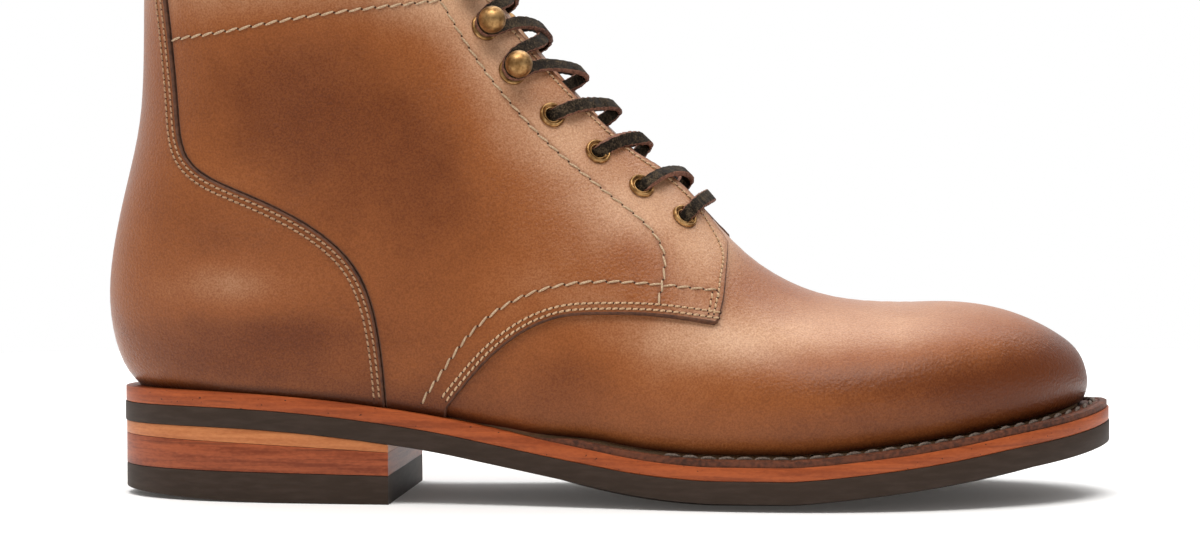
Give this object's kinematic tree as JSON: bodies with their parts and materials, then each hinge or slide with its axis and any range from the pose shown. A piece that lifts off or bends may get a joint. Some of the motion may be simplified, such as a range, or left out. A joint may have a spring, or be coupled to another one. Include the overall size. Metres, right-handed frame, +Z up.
{
  "type": "service boot",
  "caption": "Plain-toe lace-up ankle boot for the right foot, with a real hollow upper, speed hooks and eyelets, on a welted layered sole with a stacked heel.",
  "frame": {"origin": "on the floor, under the middle of the boot's box", "axes": "+X from the heel to the toe, +Y to the inner side of the foot, +Z up"},
  "size_m": [0.3044, 0.1038, 0.1878],
  "materials": {
    "upper_leather": "oiled pull-up leather, satin",
    "lining_leather": "plain vegetable-tanned, matt",
    "welt_leather": "dark stained edge, satin",
    "midsole_leather": "orange-brown burnished edge",
    "heel_leather": "stacked leather, streaked edge",
    "light_heel_leather": "stacked leather, light edge",
    "dark_rubber": "matt rubber",
    "aged_brass": "aged brass, satin",
    "lace_leather": "dark rawhide, matt"
  },
  "bodies": {
    "root": {"outsole": "dark_rubber", "midsole": "midsole_leather", "welt": "welt_leather", "insole": "lining_leather", "heel_top_piece": "dark_rubber", "heel_lift_lower": "heel_leather", "heel_lift_upper": "light_heel_leather", "upper": "upper_leather", "quarter_outer": "upper_leather", "quarter_inner": "upper_leather", "counter": "upper_leather", "tongue": "upper_leather", "eyelet_outer_1": "aged_brass", "eyelet_outer_2": "aged_brass", "eyelet_outer_3": "aged_brass", "eyelet_outer_4": "aged_brass", "eyelet_inner_1": "aged_brass", "eyelet_inner_2": "aged_brass", "eyelet_inner_3": "aged_brass", "eyelet_inner_4": "aged_brass", "hook_outer_1": "aged_brass", "hook_outer_2": "aged_brass", "hook_outer_3": "aged_brass", "hook_inner_1": "aged_brass", "hook_inner_2": "aged_brass", "hook_inner_3": "aged_brass", "lace_bar": "lace_leather", "lace_cross_1": "lace_leather", "lace_cross_2": "lace_leather", "lace_cross_3": "lace_leather", "lace_cross_4": "lace_leather", "lace_cross_5": "lace_leather", "lace_cross_6": "lace_leather"}
  },
  "joints": []
}
